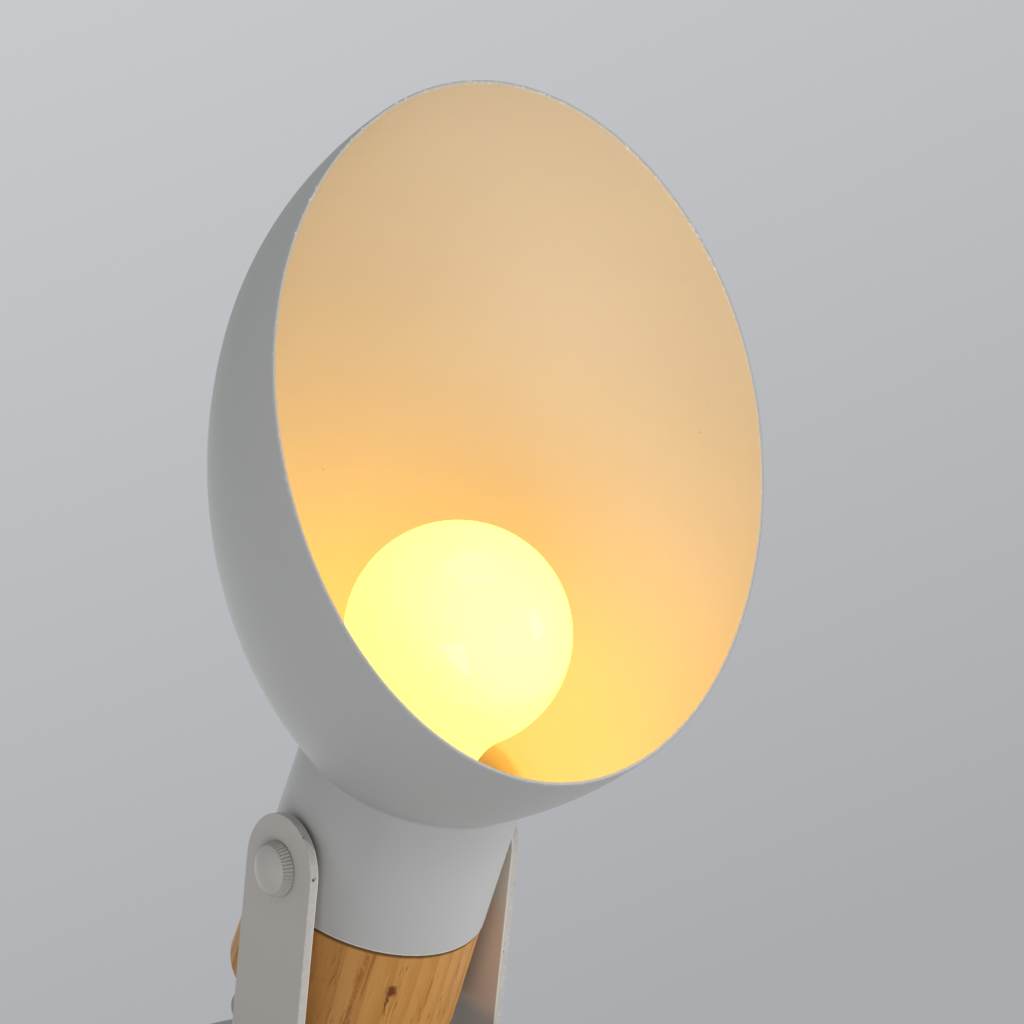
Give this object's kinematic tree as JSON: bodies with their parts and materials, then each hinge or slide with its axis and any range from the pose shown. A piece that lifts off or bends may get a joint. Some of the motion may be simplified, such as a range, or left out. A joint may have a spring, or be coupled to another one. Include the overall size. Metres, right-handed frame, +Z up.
{
  "type": "wall lamp",
  "caption": "Wall lamp with a slant-cut spun shade on a wooden cup, tilting in a U bracket that swivels on a round canopy, with a frosted globe bulb.",
  "frame": {"origin": "centre of the canopy's back, on the wall", "axes": "+Y into the wall, -Y out of the wall along the lamp, +Z up, +X along the tilt axis"},
  "size_m": [0.1194, 0.2351, 0.1067],
  "materials": {
    "shade_paint": "matte white paint",
    "bracket_paint": "warm grey-white paint, fine texture",
    "pale_wood": "clear-oiled pale wood",
    "steel": "zinc plated",
    "dark_nickel": "dark nickel plate",
    "brass": "plain brass",
    "nylon": "natural nylon",
    "holder_plastic": "moulded white plastic",
    "ceramic": "unglazed ceramic",
    "frosted_glass": "frosted, lit from inside",
    "black_glass": "black insulator",
    "led": "white board with chips"
  },
  "bodies": {
    "wall_base": {"canopy": "bracket_paint", "wall_strap": "steel", "strap_studs": "steel", "ball_nuts": "dark_nickel", "swivel_nipple": "brass", "inner_locknut": "brass", "tooth_washer": "steel", "swivel_washers": "nylon", "swivel_nut": "bracket_paint", "nipple_bush": "nylon", "terminal_block": "nylon", "terminal_inserts": "brass", "terminal_screws": "steel", "block_screw": "steel", "earth_screw": "brass"},
    "bracket": {"u_bracket": "bracket_paint"},
    "head": {"shade": "shade_paint", "wood_cup": "pale_wood", "pivot_screws": "steel", "pivot_washers": "nylon", "holder_cap": "holder_plastic", "holder_skirt": "holder_plastic", "holder_core": "ceramic", "socket_sleeve": "brass", "centre_contact": "brass", "holder_screws": "steel", "head_nipple": "brass", "head_locknut": "brass", "cord_gland": "holder_plastic", "gland_screw": "steel", "bulb_glass": "frosted_glass", "bulb_cap": "steel", "bulb_insulator": "black_glass", "bulb_contact": "steel", "led_board": "led"},
    "left_thumb_nut": {"left_thumb_nut": "bracket_paint"},
    "right_thumb_nut": {"right_thumb_nut": "bracket_paint"}
  },
  "joints": [
    {"name": "bracket_swivel", "type": "hinge", "parent": "wall_base", "child": "bracket", "pos_m": [0, -0.0255, 0], "axis": [0, -1, 0], "range_deg": [-165, 165]},
    {"name": "head_tilt", "type": "hinge", "parent": "bracket", "child": "head", "pos_m": [0, -0.0775, 0], "axis": [1, 0, 0], "range_deg": [-98, 62]},
    {"name": "left_nut_turn", "type": "hinge", "parent": "head", "child": "left_thumb_nut", "pos_m": [-0.028, -0.0775, 0], "axis": [-1, 0, 0], "range_deg": [0, 180]},
    {"name": "right_nut_turn", "type": "hinge", "parent": "head", "child": "right_thumb_nut", "pos_m": [0.028, -0.0775, 0], "axis": [1, 0, 0], "range_deg": [0, 180]}
  ]
}
